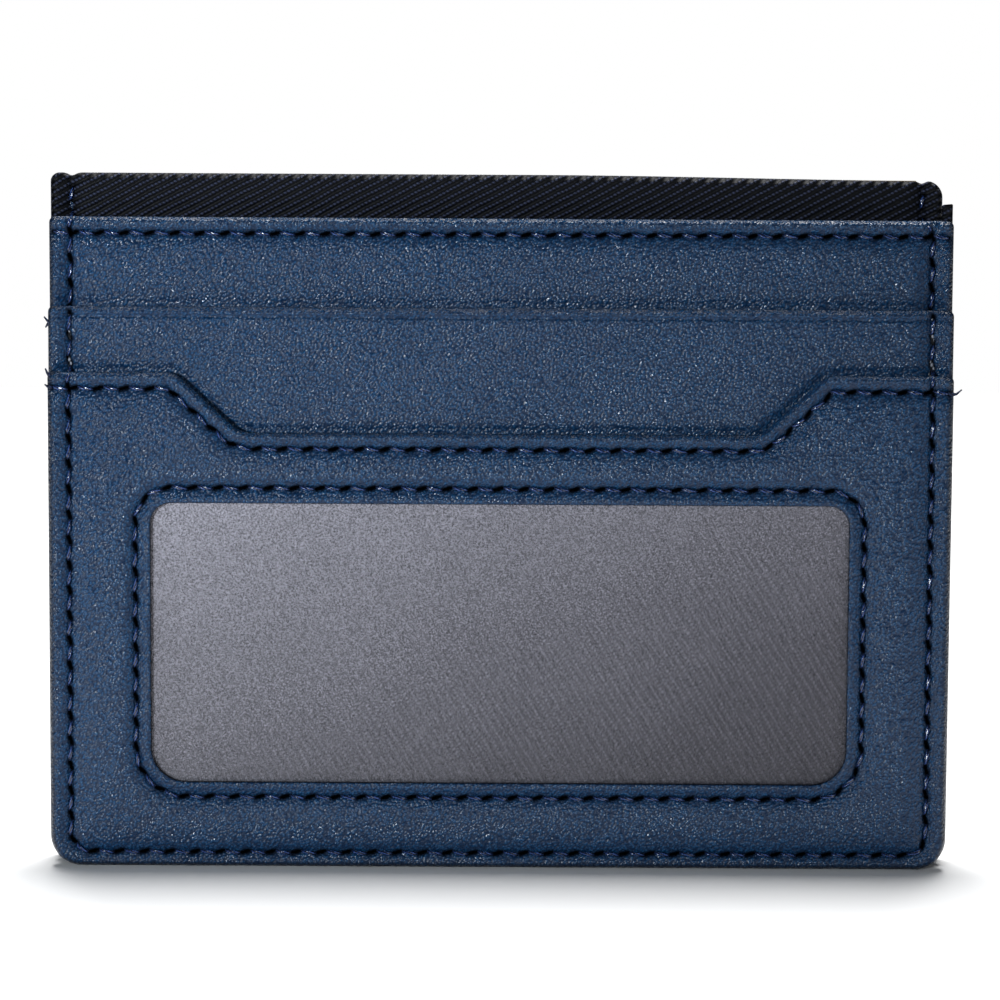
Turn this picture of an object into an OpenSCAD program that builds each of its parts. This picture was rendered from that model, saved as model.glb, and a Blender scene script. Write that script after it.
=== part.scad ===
// Flat card holder that stands on its bottom edge, front face towards -Y.
// Layers of leather, twill, film and board are sewn together down both sides and
// along the bottom. The turned edges pack out the seam by one card's thickness, so
// each pocket is a real slot. A layer is a flat outline in X and Z, given its
// thickness along Y. The folded edge that packs out a pocket is a node of its own,
// so that nothing closes the slot between its sides.

/* [Cards] */
// Width of the card that the pockets are cut for
card_w = 85.6; // [54:0.1:90]
// Thickness of that card
card_t = 0.76; // [0.3:0.01:1.2]
// Spare room beside the card, on each side
card_side_clearance = 2.2; // [0.5:0.1:4]
// Spare room in front of and behind the card together
card_face_clearance = 0.09; // [0.02:0.01:0.6]

/* [Body] */
// Width of the holder
body_w = 102; // [96:1:125]
// Height of the rear body, the tallest layer
rear_h = 78.6; // [66:0.2:96]
// Radius of the bottom corners
corner_r = 3.6; // [1.5:0.1:6]
// Radius of the corners at the top edges
top_corner_r = 0.6; // [0.2:0.1:2]

/* [Steps between the layers] */
// Drop from the rear body's top edge to the front body's
front_drop = 4.8; // [2:0.1:8]
// Drop from the front body's top edge to the middle panel's
middle_drop = 9.95; // [6:0.05:14]
// Drop from the middle panel's top edge to the window panel's shoulders
window_drop = 7.3; // [4:0.1:12]
// Height of the middle panel's leather, which ends behind the window panel
facing_h = 19.85; // [12:0.05:26]

/* [Finger cutout] */
// Width of the cutout at the shoulders
cutout_top_w = 73.4; // [60:0.2:80]
// Width of the cutout's flat bottom
cutout_flat_w = 58.6; // [40:0.2:64]
// Depth of the cutout below the shoulders
cutout_depth = 6.75; // [4:0.05:9]
// Radius of the cutout's two lower corners
cutout_r = 3.5; // [1:0.1:5]

/* [Window] */
// Leather left beside the window
side_rail = 11.6; // [8:0.1:16]
// Leather left below the window
bottom_rail = 9.9; // [7:0.1:14]
// Leather left between the window and the cutout
top_rail = 8.0; // [6:0.1:12]
// Radius of the window's upper corners
window_upper_r = 2.3; // [0.5:0.1:5]
// Radius of the window's lower corners
window_lower_r = 3.9; // [0.5:0.1:6]
// Height by which the film reaches past the window's top
film_overlap = 3.8; // [3:0.1:5]

/* [Materials] */
// Thickness of the leather
leather_t = 0.7; // [0.5:0.05:1]
// Thickness of the twill lining
twill_t = 0.25; // [0.15:0.05:0.4]
// Thickness of the window film
film_t = 0.2; // [0.1:0.05:0.4]
// Thickness of the stiffening board
board_t = 0.4; // [0.3:0.05:0.8]

/* [Edges] */
// Height of the turned edge at the bottom, which is the pockets' floor
floor_hem = 2.2; // [2:0.1:5]
// Height of the front body's turned top edge
top_hem = 4; // [3:0.1:8]
// Distance by which the boards stop short of the sides and the bottom
board_margin = 4.2; // [3:0.1:8]
// Distance by which a lining stops short of the leather's top edge
lining_inset = 0.5; // [0.2:0.1:2]
// Width of the lining corner that stands up at the right end of the front body
lining_ear_w = 1.5; // [0.8:0.1:3]
// Height by which that corner stands above the front body
lining_ear_h = 1.9; // [0.5:0.1:3]

/* [Stitching] */
// Distance between stitches
stitch_pitch = 2.87; // [2:0.01:4]
// Gap between one stitch and the next
stitch_gap = 0.75; // [0.4:0.05:1.2]
// Diameter of the thread
thread_d = 0.4; // [0.25:0.05:0.6]
// Width of the groove that the thread is drawn into
groove_w = 0.7; // [0.65:0.05:1]
// Depth of that groove
groove_depth = 0.3; // [0.15:0.05:0.4]
// Distance of the side seams from the side edges
side_seam_inset = 2.4; // [1.6:0.1:4]
// Distance of the bottom seam from the bottom edge
bottom_seam_inset = 1.75; // [1.2:0.05:2.5]
// Distance of the rows on a top edge from that edge
edge_seam_inset = 1.8; // [1.2:0.1:2.5]
// Distance of the window's row from the window
window_seam_inset = 1.75; // [1.2:0.05:2.5]
// Radius of the side seams' turn into the bottom seam
seam_corner_r = 2.2; // [1:0.1:4]
// Distance of the pressed line on the middle panel from its edge
crease_inset = 1.05; // [0.6:0.05:2]
// Width of that pressed line
crease_w = 0.4; // [0.2:0.05:0.6]
// Depth of that pressed line
crease_depth = 0.15; // [0.05:0.05:0.3]

/* [Hidden] */
$fn = 48;
// Length by which a cutting shape runs past the face that it cuts
past = 1;
// Steps in a quarter turn of a row of stitches
turn_steps = 3;

// Top edges, measured from the bottom edge
front_top = rear_h - front_drop;
middle_top = front_top - middle_drop;
shoulder_top = middle_top - window_drop;
cutout_floor = shoulder_top - cutout_depth;
facing_bottom = middle_top - facing_h;

// Window opening
window_half_w = body_w / 2 - side_rail;
window_top = cutout_floor - top_rail;

// Room for one card, and the turned side edges that leave it open
card_gap = card_t + card_face_clearance;
side_hem = body_w / 2 - card_w / 2 - card_side_clearance;

// Front face of each layer, from the front of the holder to its back
total_t = 4 * leather_t + 3 * twill_t + film_t + 2 * board_t + 3 * card_gap;
window_face = -total_t / 2;
film_face = window_face + leather_t;
id_gap_face = film_face + film_t;
middle_face = id_gap_face + card_gap;
middle_backing_face = middle_face + leather_t;
middle_gap_face = middle_backing_face + twill_t;
upper_face = middle_gap_face + card_gap;
front_board_face = upper_face + leather_t;
front_lining_face = front_board_face + board_t;
centre_gap_face = front_lining_face + twill_t;
rear_lining_face = centre_gap_face + card_gap;
rear_board_face = rear_lining_face + twill_t;
rear_panel_face = rear_board_face + board_t;
back_face = rear_panel_face + leather_t;

// Lines that the stitches follow, as points [x, z]
seam_x = body_w / 2 - side_seam_inset;
shoulder_stitch_z = shoulder_top - edge_seam_inset;
cutout_stitch_z = cutout_floor - edge_seam_inset;
cutout_slope = atan2(cutout_depth, (cutout_top_w - cutout_flat_w) / 2);
// A row at one distance from a bent edge bends this much farther from the middle
bend_shift = edge_seam_inset * tan(cutout_slope / 2);

// The normal on the left of the way from a to b
function normal(a, b) = [a.y - b.y, b.x - a.x] / norm(b - a);
function normal_before(points, i, closed) =
    i > 0 ? normal(points[i - 1], points[i])
    : closed ? normal(points[len(points) - 1], points[0])
    : normal(points[0], points[1]);
function normal_after(points, i, closed) =
    i < len(points) - 1 ? normal(points[i], points[i + 1])
    : closed ? normal(points[i], points[0])
    : normal(points[i - 1], points[i]);
// A line beside a line of points, at distance shift to its left, with mitred bends
function beside(points, shift, closed = false) =
    [for (i = [0:len(points) - 1])
        let (a = normal_before(points, i, closed), b = normal_after(points, i, closed))
        points[i] + (a + b) * shift / (1 + a * b)];
function reversed(points) = [for (i = [len(points) - 1:-1:0]) points[i]];

// Points round a quarter turn, from angle start, in turn_steps steps
function turn(x, z, r, start, sweep) =
    [for (i = [0:turn_steps]) [x + r * cos(start + sweep * i / turn_steps),
                               z + r * sin(start + sweep * i / turn_steps)]];

// The side seams and the bottom seam up to height top, as one open line
function seam_line(top) = concat(
    [[-seam_x, top]],
    turn(-seam_x + seam_corner_r, bottom_seam_inset + seam_corner_r, seam_corner_r, 180, 90),
    turn(seam_x - seam_corner_r, bottom_seam_inset + seam_corner_r, seam_corner_r, 270, 90),
    [[seam_x, top]]
);

// The closed row round the window
function window_line() =
    let (x = window_half_w - window_lower_r, u = window_half_w - window_upper_r,
         low = bottom_rail + window_lower_r, high = window_top - window_upper_r,
         low_r = window_lower_r + window_seam_inset, high_r = window_upper_r + window_seam_inset)
    concat(
        turn(-x, low, low_r, 180, 90),
        turn(x, low, low_r, 270, 90),
        turn(u, high, high_r, 0, 90),
        turn(-u, high, high_r, 90, 90)
    );

// The row along the window panel's top edge, down into the cutout and out again
cutout_line = [
    [-body_w / 2, shoulder_stitch_z],
    [-seam_x, shoulder_stitch_z],
    [-cutout_top_w / 2 - bend_shift, shoulder_stitch_z],
    [-cutout_flat_w / 2 - bend_shift, cutout_stitch_z],
    [cutout_flat_w / 2 + bend_shift, cutout_stitch_z],
    [cutout_top_w / 2 + bend_shift, shoulder_stitch_z],
    [seam_x, shoulder_stitch_z],
    [body_w / 2, shoulder_stitch_z]
];
// The row along the front body's top edge; the side seams cross it at seam_x
upper_edge_line = [
    for (x = [-body_w / 2, -seam_x, seam_x, body_w / 2]) [x, front_top - edge_seam_inset]
];

// Gives a flat outline its thickness along Y, backwards from y_front
module layer(y_front, t) {
    translate([0, y_front + t, 0]) rotate([90, 0, 0]) linear_extrude(t) children();
}

// Rectangle with one radius for its lower corners and one for its upper corners
module rounded_rect(x0, x1, z0, z1, low_r, high_r) {
    translate([x0, z0 + low_r]) square([x1 - x0, z1 - z0 - low_r - high_r]);
    translate([x0 + low_r, z0]) square([x1 - x0 - 2 * low_r, low_r]);
    translate([x0 + high_r, z1 - high_r]) square([x1 - x0 - 2 * high_r, high_r]);
    for (x = [x0 + low_r, x1 - low_r]) translate([x, z0 + low_r]) circle(low_r);
    for (x = [x0 + high_r, x1 - high_r]) translate([x, z1 - high_r]) circle(high_r);
}

// The holder's outline up to height top, drawn in by inset at the sides and the bottom
module body_outline(top, inset = 0) {
    rounded_rect(-body_w / 2 + inset, body_w / 2 - inset, inset, top, corner_r - inset, top_corner_r);
}

// A turned edge: down both sides and along the bottom
module edge_strips(top, side_w, floor_w) {
    difference() {
        body_outline(top);
        translate([-body_w / 2 + side_w, floor_w]) square([body_w - 2 * side_w, top]);
    }
}

// The part of a body that a board fills, up to height top
module board_outline(top) {
    translate([-body_w / 2 + board_margin, board_margin])
        square([body_w - 2 * board_margin, top - board_margin]);
}

// The finger cutout: a trapezium with round lower corners, open upwards
module cutout_outline() {
    run = (cutout_top_w - cutout_flat_w) / 2;
    tangent = cutout_r * tan(cutout_slope / 2);
    flat = cutout_flat_w / 2 - tangent;
    slope_x = cutout_flat_w / 2 + tangent * cos(cutout_slope);
    slope_z = cutout_floor + tangent * sin(cutout_slope);
    top_x = cutout_top_w / 2 + past * run / cutout_depth;
    top_z = shoulder_top + past;
    polygon([
        [-flat, cutout_floor], [flat, cutout_floor],
        [slope_x, slope_z], [top_x, top_z],
        [-top_x, top_z], [-slope_x, slope_z]
    ]);
    for (x = [-flat, flat]) translate([x, cutout_floor + cutout_r]) circle(cutout_r);
}

// A band of width w along an open line of points
module band(points, w) {
    polygon(concat(beside(points, w / 2), reversed(beside(points, -w / 2))));
}

// A band of width w round a closed line of points that runs anticlockwise
module closed_band(points, w) {
    difference() {
        polygon(beside(points, -w / 2, true));
        polygon(beside(points, w / 2, true));
    }
}

// Cuts a groove along an open line into a front face
module front_groove(face, points, w = groove_w, depth = groove_depth) {
    layer(face - past, depth + past) band(points, w);
}

// Cuts the grooves of both side seams into a front face, between two heights
module side_grooves(face, low, high) {
    for (side = [-1, 1]) front_groove(face, [[side * seam_x, low], [side * seam_x, high]]);
}

// Stitches laid along a line of points, their centres at y
module stitch_row(points, y) {
    for (i = [0:len(points) - 2]) {
        step = points[i + 1] - points[i];
        count = max(1, round(norm(step) / stitch_pitch));
        stitch_l = norm(step) / count - stitch_gap;
        for (k = [0:count - 1]) {
            at = points[i] + step * (k + 0.5) / count;
            translate([at.x, y, at.y]) rotate([0, -atan2(step.y, step.x), 0]) rotate([0, 90, 0])
                cylinder(h = stitch_l, d = thread_d, center = true);
        }
    }
}

// One straight piece of both side seams, between two heights
module side_stitches(low, high, y) {
    for (side = [-1, 1]) stitch_row([[side * seam_x, low], [side * seam_x, high]], y);
}

// Leather that frames the window
module window_panel() color("#3a4862") {
    difference() {
        layer(window_face, leather_t) body_outline(shoulder_top);
        layer(window_face - past, total_t) cutout_outline();
        layer(window_face - past, leather_t + 2 * past)
            rounded_rect(-window_half_w, window_half_w, bottom_rail, window_top,
                         window_lower_r, window_upper_r);
        layer(window_face - past, groove_depth + past) closed_band(window_line(), groove_w);
        front_groove(window_face, concat([cutout_line[0] - [past, 0]], cutout_line,
                                         [cutout_line[7] + [past, 0]]));
        front_groove(window_face, seam_line(shoulder_top + past));
    }
}

// The window panel's sides and bottom, turned round the film; it packs out the pocket
module window_panel_hem() color("#36445e") {
    layer(film_face, film_t) difference() {
        body_outline(shoulder_top);
        body_outline(shoulder_top + past, leather_t);
    }
    layer(id_gap_face, card_gap) edge_strips(shoulder_top, side_hem, floor_hem);
}

// Frosted film behind the window, held by the window's row and by the turned edges
module window_film() color("#8b8c94", 0.6) {
    layer(film_face, film_t) body_outline(window_top + film_overlap, leather_t);
}

// Leather facing of the middle pocket, with a pressed line along its folded edge
module middle_panel() color("#364560") {
    difference() {
        layer(middle_face, leather_t) intersection() {
            body_outline(middle_top);
            translate([-body_w / 2, facing_bottom]) square([body_w, facing_h]);
        }
        front_groove(middle_face, [
            [-body_w / 2 - past, middle_top - crease_inset],
            [body_w / 2 + past, middle_top - crease_inset]
        ], crease_w, crease_depth);
        side_grooves(middle_face, shoulder_top, middle_top + past);
    }
}

// Twill that carries the facing and parts the two pockets
module middle_backing() color("#191b24") {
    layer(middle_backing_face, twill_t) body_outline(middle_top - lining_inset);
}

// The twill's folded edges: below the facing in front, and all the way up behind
module middle_backing_hem() color("#20222c") {
    layer(middle_face, leather_t) edge_strips(facing_bottom, side_hem, floor_hem);
    layer(middle_gap_face, card_gap) edge_strips(middle_top - lining_inset, side_hem, floor_hem);
}

// Leather front of the body, turned round the front board on all four sides
module upper_panel() color("#3b4a66") {
    difference() {
        union() {
            layer(upper_face, leather_t) body_outline(front_top);
            layer(front_board_face, board_t) difference() {
                body_outline(front_top);
                board_outline(front_top - top_hem);
            }
        }
        front_groove(upper_face, [upper_edge_line[0] - [past, 0], upper_edge_line[3] + [past, 0]]);
        side_grooves(upper_face, middle_top, front_top + past);
    }
}

// Stiffener inside the front body
module front_board() color("#8a7a66") {
    layer(front_board_face, board_t) board_outline(front_top - top_hem);
}

// Twill lining of the front body; one corner stands above the turned edge
module front_lining() color("#1b1d26") {
    layer(front_lining_face, twill_t) {
        body_outline(front_top - lining_inset);
        translate([body_w / 2 - lining_ear_w, front_top - corner_r])
            square([lining_ear_w, corner_r + lining_ear_h]);
    }
}

// Twill lining of the rear body, rolled over the board to meet the leather at the top
module rear_lining() color("#191b24") {
    layer(rear_lining_face, twill_t) body_outline(rear_h);
    layer(rear_board_face, board_t) intersection() {
        body_outline(rear_h);
        translate([-body_w / 2, rear_h - board_t]) square([body_w, board_t]);
    }
}

// The rear lining's folded sides and bottom, which pack out the centre compartment
module rear_lining_hem() color("#20222c") {
    layer(centre_gap_face, card_gap)
        edge_strips(front_top - lining_inset, side_hem, floor_hem);
}

// Stiffener inside the rear body
module rear_board() color("#8a7a66") {
    layer(rear_board_face, board_t) board_outline(rear_h - board_t);
}

// Leather back, its sides and bottom turned round the rear board
module rear_panel() color("#384661") {
    difference() {
        union() {
            layer(rear_board_face, board_t) difference() {
                body_outline(rear_h - board_t);
                board_outline(rear_h);
            }
            layer(rear_panel_face, leather_t) body_outline(rear_h);
        }
        layer(back_face - groove_depth, groove_depth + past)
            band(seam_line(rear_h + past), groove_w);
    }
}

// Row that holds the film to the window panel
module window_stitching() color("#2f4a86") {
    stitch_row(concat(window_line(), [window_line()[0]]), window_face + groove_depth - thread_d / 2);
}

// Row along the window panel's turned top edge
module cutout_stitching() color("#2f4a86") {
    stitch_row(cutout_line, window_face + groove_depth - thread_d / 2);
}

// Row along the front body's turned top edge
module upper_edge_stitching() color("#2f4a86") {
    stitch_row(upper_edge_line, upper_face + groove_depth - thread_d / 2);
}

// Front thread of the seam that joins all the layers, on whichever layer is foremost
module front_seam_stitching() color("#2f4a86") {
    stitch_row(seam_line(shoulder_top), window_face + groove_depth - thread_d / 2);
    side_stitches(shoulder_top, middle_top, middle_face + groove_depth - thread_d / 2);
    side_stitches(middle_top, front_top, upper_face + groove_depth - thread_d / 2);
    side_stitches(front_top, rear_h - top_corner_r, rear_lining_face - thread_d / 2);
}

// Back thread of the same seam
module rear_seam_stitching() color("#2f4a86") {
    stitch_row(seam_line(rear_h - top_corner_r), back_face - groove_depth + thread_d / 2);
}

window_panel();
window_panel_hem();
window_film();
middle_panel();
middle_backing();
middle_backing_hem();
upper_panel();
front_board();
front_lining();
rear_lining();
rear_lining_hem();
rear_board();
rear_panel();
window_stitching();
cutout_stitching();
upper_edge_stitching();
front_seam_stitching();
rear_seam_stitching();
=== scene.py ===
"""Flat navy leather card holder, standing on its bottom edge with its window to the front.

Each leather panel is one shell: rings of points run round its outline, so that the
turned edge, the sewn groove and the stitch holes follow the edge as they do on leather.
Panels and threads are worked out in millimetres until a mesh is made. The camera, the
floor and the lights are in metres.
"""
import math

import bpy
import numpy as np
from mathutils import Matrix, Vector, geometry


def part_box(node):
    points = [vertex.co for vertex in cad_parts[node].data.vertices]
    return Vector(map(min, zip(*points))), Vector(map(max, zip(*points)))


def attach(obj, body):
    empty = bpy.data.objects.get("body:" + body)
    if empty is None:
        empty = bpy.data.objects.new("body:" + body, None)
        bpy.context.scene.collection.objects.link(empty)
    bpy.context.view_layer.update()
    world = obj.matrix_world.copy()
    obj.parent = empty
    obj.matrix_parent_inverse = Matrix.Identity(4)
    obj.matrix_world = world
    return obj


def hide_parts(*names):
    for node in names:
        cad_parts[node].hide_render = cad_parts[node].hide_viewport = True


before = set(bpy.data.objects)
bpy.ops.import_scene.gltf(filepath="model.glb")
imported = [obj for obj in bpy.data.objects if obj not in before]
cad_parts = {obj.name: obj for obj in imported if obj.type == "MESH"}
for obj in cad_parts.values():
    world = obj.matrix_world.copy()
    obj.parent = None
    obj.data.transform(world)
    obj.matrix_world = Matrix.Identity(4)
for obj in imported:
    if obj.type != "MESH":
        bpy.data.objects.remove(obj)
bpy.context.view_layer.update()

MM = 0.001
bpy.ops.object.select_all(action="DESELECT")


# ---------------------------------------------------------------- sizes from the frame

def box_mm(node):
    """Lowest and highest corner of a CAD node, in millimetres."""
    low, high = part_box(node)
    return np.array(low) / MM, np.array(high) / MM


HALF_W = box_mm("rear_panel")[1][0]
REAR_TOP = box_mm("rear_panel")[1][2]
FRONT_TOP = box_mm("upper_panel")[1][2]
MIDDLE_LOW, MIDDLE_TOP = box_mm("middle_panel")[0][2], box_mm("middle_panel")[1][2]
SHOULDER_TOP = box_mm("window_panel")[1][2]

# Y of each layer's face, from the front backwards
WINDOW_FACE = box_mm("window_panel")[0][1]
MIDDLE_FACE, TWILL_FACE = box_mm("middle_panel")[0][1], box_mm("middle_backing")[0][1]
UPPER_FACE, FRONT_LINING_FACE = box_mm("upper_panel")[0][1], box_mm("front_lining")[0][1]
REAR_LINING_FACE, BACK_FACE = box_mm("rear_lining")[0][1], box_mm("rear_panel")[1][1]

# Thickness of the leather and the twill, and of the edges that show at the outline
LEATHER = box_mm("middle_panel")[1][1] - MIDDLE_FACE
TWILL = box_mm("middle_backing")[1][1] - TWILL_FACE
WINDOW_EDGE = MIDDLE_FACE - WINDOW_FACE
BODY_EDGE = FRONT_LINING_FACE - UPPER_FACE
REAR_EDGE = BACK_FACE - box_mm("rear_board")[0][1]
LINING_EDGE = box_mm("rear_lining")[1][1] - REAR_LINING_FACE

# The thread's thickness, and how far each row of stitches lies from its edge
THREAD = 0.40
PITCH = 2.87
EDGE_SEAM, WINDOW_SEAM = 1.8, 1.75
SIDE_SEAM, BOTTOM_SEAM = 2.4, 1.75
SEAM_X = HALF_W - SIDE_SEAM
SEAM_END = 0.8           # below the rear body's top
SIDE_HEM, FLOOR_HEM = 6.0, 2.2

# Radii of the round corners and bends
CORNER, TOP_CORNER = 3.6, 0.7
SHOULDER_BEND, CUTOUT_BEND, SEAM_BEND = 2.3, 3.6, 2.3
WINDOW_LOW_BEND, WINDOW_TOP_BEND = 3.9, 2.3

# Half widths of the finger cutout at its top and at its floor
CUTOUT_TOP, CUTOUT_FLAT = 36.7, 29.3
CUTOUT_FLOOR = box_mm("cutout_stitching")[0][2] + THREAD / 2 + EDGE_SEAM
WINDOW_X = box_mm("window_stitching")[1][0] - THREAD / 2 - WINDOW_SEAM
WINDOW_LOW = box_mm("window_stitching")[0][2] + THREAD / 2 + WINDOW_SEAM
WINDOW_TOP = box_mm("window_stitching")[1][2] - THREAD / 2 - WINDOW_SEAM


# ------------------------------------------------------------------------------ camera

CAMERA_ELEVATION = math.radians(7.5)
CAMERA_DISTANCE = 0.50
CAMERA_ROLL = math.radians(0.32)
VIEW_WIDTH = 0.1135
VIEW_CENTRE = Vector((0.0, 0.0, 0.0419))

camera = bpy.data.objects.new("camera", bpy.data.cameras.new("camera"))
bpy.context.collection.objects.link(camera)
back = Vector((0, -math.cos(CAMERA_ELEVATION), math.sin(CAMERA_ELEVATION)))
camera.location = VIEW_CENTRE + back * CAMERA_DISTANCE
camera.rotation_mode = "QUATERNION"
roll = Matrix.Rotation(CAMERA_ROLL, 3, "Z").to_quaternion()
camera.rotation_quaternion = (-back).to_track_quat("-Z", "Y") @ roll
camera.data.sensor_width = 36
camera.data.lens = 36 * CAMERA_DISTANCE / VIEW_WIDTH
bpy.context.scene.camera = camera


# --------------------------------------------------------------------------- materials

# Black painted into stitch holes and thread ends, as the shade inside a hole
HOLE_BLACK = "020306"


def hex_colour(text):
    """An sRGB hex colour as linear values, with an alpha of 1."""
    parts = [int(text[i:i + 2], 16) / 255 for i in (0, 2, 4)]
    return tuple(c / 12.92 if c <= 0.04045 else ((c + 0.055) / 1.055) ** 2.4 for c in parts) + (1.0,)


def add(tree, kind, inputs=None, **settings):
    """Adds a node with its settings, and links or sets its inputs."""
    made = tree.nodes.new(kind)
    for key, value in settings.items():
        setattr(made, key, value)
    for key, value in (inputs or {}).items():
        if isinstance(value, bpy.types.NodeSocket):
            tree.links.new(value, made.inputs[key])
        else:
            made.inputs[key].default_value = value
    return made


def start_material(name):
    """A material with an empty tree and its output."""
    material = bpy.data.materials.new(name)
    material.use_nodes = True
    tree = material.node_tree
    tree.nodes.clear()
    output = tree.nodes.new("ShaderNodeOutputMaterial")
    return material, tree, output


def maths(tree, operation, a, b=0.0, c=0.0, clamp=False):
    """The output of a math node."""
    made = add(tree, "ShaderNodeMath", {0: a, 1: b, 2: c}, operation=operation, use_clamp=clamp)
    return made.outputs[0]


def leather_material():
    """Chrome-tanned calf, dyed navy and plated with a fine pebble grain: a dark, soft
    surface broken into small lights by pebbles of about 0.3 mm that run together upwards
    to the right."""
    material, tree, output = start_material("navy_plated_calf")
    place = add(tree, "ShaderNodeTexCoord").outputs["Object"]
    drawn = add(tree, "ShaderNodeMapping", {
        "Vector": place, "Rotation": (0, math.radians(-50), 0), "Scale": (1.4, 1.0, 1.0),
    }, vector_type="TEXTURE").outputs[0]
    wander = add(tree, "ShaderNodeTexNoise", {
        "Vector": drawn, "Scale": 1 / (0.7 * MM), "Detail": 2.0,
    }).outputs["Color"]
    shaken = add(tree, "ShaderNodeVectorMath", {0: wander, "Scale": 0.12 * MM},
                 operation="SCALE").outputs[0]
    moved = add(tree, "ShaderNodeVectorMath", {0: drawn, 1: shaken}, operation="ADD").outputs[0]
    cells = add(tree, "ShaderNodeTexVoronoi", {
        "Vector": moved, "Scale": 1 / (0.26 * MM), "Smoothness": 0.12, "Randomness": 1.0,
    }, feature="SMOOTH_F1")
    pebbles = maths(tree, "SUBTRACT", 1.0, cells.outputs["Distance"])
    fine = add(tree, "ShaderNodeTexNoise", {
        "Vector": drawn, "Scale": 1 / (0.30 * MM), "Detail": 2.0, "Roughness": 0.6,
    }).outputs["Fac"]
    broad = add(tree, "ShaderNodeTexNoise", {
        "Vector": place, "Scale": 1 / (9 * MM), "Detail": 3.0,
    }).outputs["Fac"]
    height = maths(tree, "MULTIPLY_ADD", fine, 0.35, pebbles)
    hole = add(tree, "ShaderNodeAttribute", attribute_name="hole").outputs["Fac"]
    raw = add(tree, "ShaderNodeAttribute", attribute_name="raw_edge").outputs["Fac"]

    tone = maths(tree, "MULTIPLY_ADD", pebbles, 0.7, maths(tree, "MULTIPLY_ADD", broad, 0.12,
                 maths(tree, "MULTIPLY", fine, 0.22)))
    colour = add(tree, "ShaderNodeValToRGB", {"Fac": tone})
    colour.color_ramp.elements[0].position = 0.45
    colour.color_ramp.elements[0].color = hex_colour("082340")
    colour.color_ramp.elements[1].position = 0.85
    colour.color_ramp.elements[1].color = hex_colour("1e4d76")
    # Stitch holes are painted black, as the shade inside them
    sunk = add(tree, "ShaderNodeMix", {
        "Factor": hole, 6: colour.outputs["Color"], 7: hex_colour(HOLE_BLACK),
    }, data_type="RGBA").outputs[2]
    # Painted shade on the rounded outer edges, and the real dark face of the window's cut edge, turn
    # the colour near black
    shown = add(tree, "ShaderNodeMix", {"Factor": raw, 6: sunk, 7: hex_colour("080a12")},
                data_type="RGBA").outputs[2]
    sheen = add(tree, "ShaderNodeMapRange", {
        "Value": fine, "From Min": 0.40, "From Max": 0.62, "To Min": 0.44, "To Max": 0.13,
    }).outputs[0]
    roughness = maths(tree, "MULTIPLY_ADD", hole, 0.7, sheen, clamp=True)
    bump = add(tree, "ShaderNodeBump", {"Strength": 1.0, "Distance": 0.11 * MM, "Height": height})
    # Painted shade: inside a hole the colour is black, and a black metal gives back no light at all, as
    # a deep hole does
    shader = add(tree, "ShaderNodeBsdfPrincipled", {
        "Base Color": shown, "Roughness": roughness, "Normal": bump.outputs[0],
        "Metallic": hole, "IOR": 1.5, "Specular IOR Level": 0.33,
    })
    tree.links.new(shader.outputs[0], output.inputs[0])
    return material


def twill_material(name, wale_angle, wale_mm, dark, light):
    """Viscose twill, woven with a raised diagonal wale: matt and dark, with small floats strung along
    each wale, painted lighter as a highlight. A rolled edge is painted black as shade."""
    material, tree, output = start_material(name)
    place = add(tree, "ShaderNodeTexCoord").outputs["Object"]
    angle = math.radians(wale_angle)
    across = (-math.sin(angle), 0.0, math.cos(angle))
    along = (math.cos(angle), 0.0, math.sin(angle))
    sway = add(tree, "ShaderNodeTexNoise", {"Vector": place, "Scale": 1 / (6 * MM)}).outputs["Fac"]
    cross = add(tree, "ShaderNodeVectorMath", {0: place, 1: across}, operation="DOT_PRODUCT")
    length = add(tree, "ShaderNodeVectorMath", {0: place, 1: along}, operation="DOT_PRODUCT")
    turns = maths(tree, "MULTIPLY_ADD", cross.outputs["Value"], math.tau / (wale_mm * MM),
                  maths(tree, "MULTIPLY", sway, 3.0))
    wale = maths(tree, "MULTIPLY_ADD", maths(tree, "SINE", turns), 0.5, 0.5)
    steps = maths(tree, "MULTIPLY_ADD", length.outputs["Value"], math.tau / (0.46 * MM),
                  maths(tree, "MULTIPLY", turns, 0.5))
    floats = maths(tree, "MULTIPLY_ADD", maths(tree, "SINE", steps), 0.5, 0.5)
    fuzz = add(tree, "ShaderNodeTexNoise", {
        "Vector": place, "Scale": 1 / (0.5 * MM), "Detail": 3.0,
    }).outputs["Fac"]
    strung = maths(tree, "MULTIPLY", maths(tree, "POWER", wale, 2.5),
                   maths(tree, "MULTIPLY_ADD", floats, 0.8, 0.2))
    height = maths(tree, "MULTIPLY_ADD", fuzz, 0.5, maths(tree, "MULTIPLY_ADD", strung, 0.7, wale))
    # Painted highlight: the raised floats are coloured lighter than the cloth
    tone = add(tree, "ShaderNodeValToRGB", {"Fac": maths(tree, "MULTIPLY", strung, maths(
        tree, "MULTIPLY_ADD", fuzz, 1.6, 0.1))})
    tone.color_ramp.elements[0].position = 0.1
    tone.color_ramp.elements[0].color = hex_colour(dark)
    tone.color_ramp.elements[1].position = 0.85
    tone.color_ramp.elements[1].color = hex_colour(light)
    # Painted shade: a rolled edge turns black, and as a black metal gives back no light
    rolled = add(tree, "ShaderNodeAttribute", attribute_name="raw_edge").outputs["Fac"]
    shown = add(tree, "ShaderNodeMix", {
        "Factor": rolled, 6: tone.outputs["Color"], 7: hex_colour("020305"),
    }, data_type="RGBA").outputs[2]
    bump = add(tree, "ShaderNodeBump", {"Strength": 1.0, "Distance": 0.12 * MM, "Height": height})
    shader = add(tree, "ShaderNodeBsdfPrincipled", {
        "Base Color": shown, "Roughness": 0.55, "Normal": bump.outputs[0],
        "Metallic": rolled, "Specular IOR Level": 0.14,
    })
    tree.links.new(shader.outputs[0], output.inputs[0])
    return material


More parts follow.
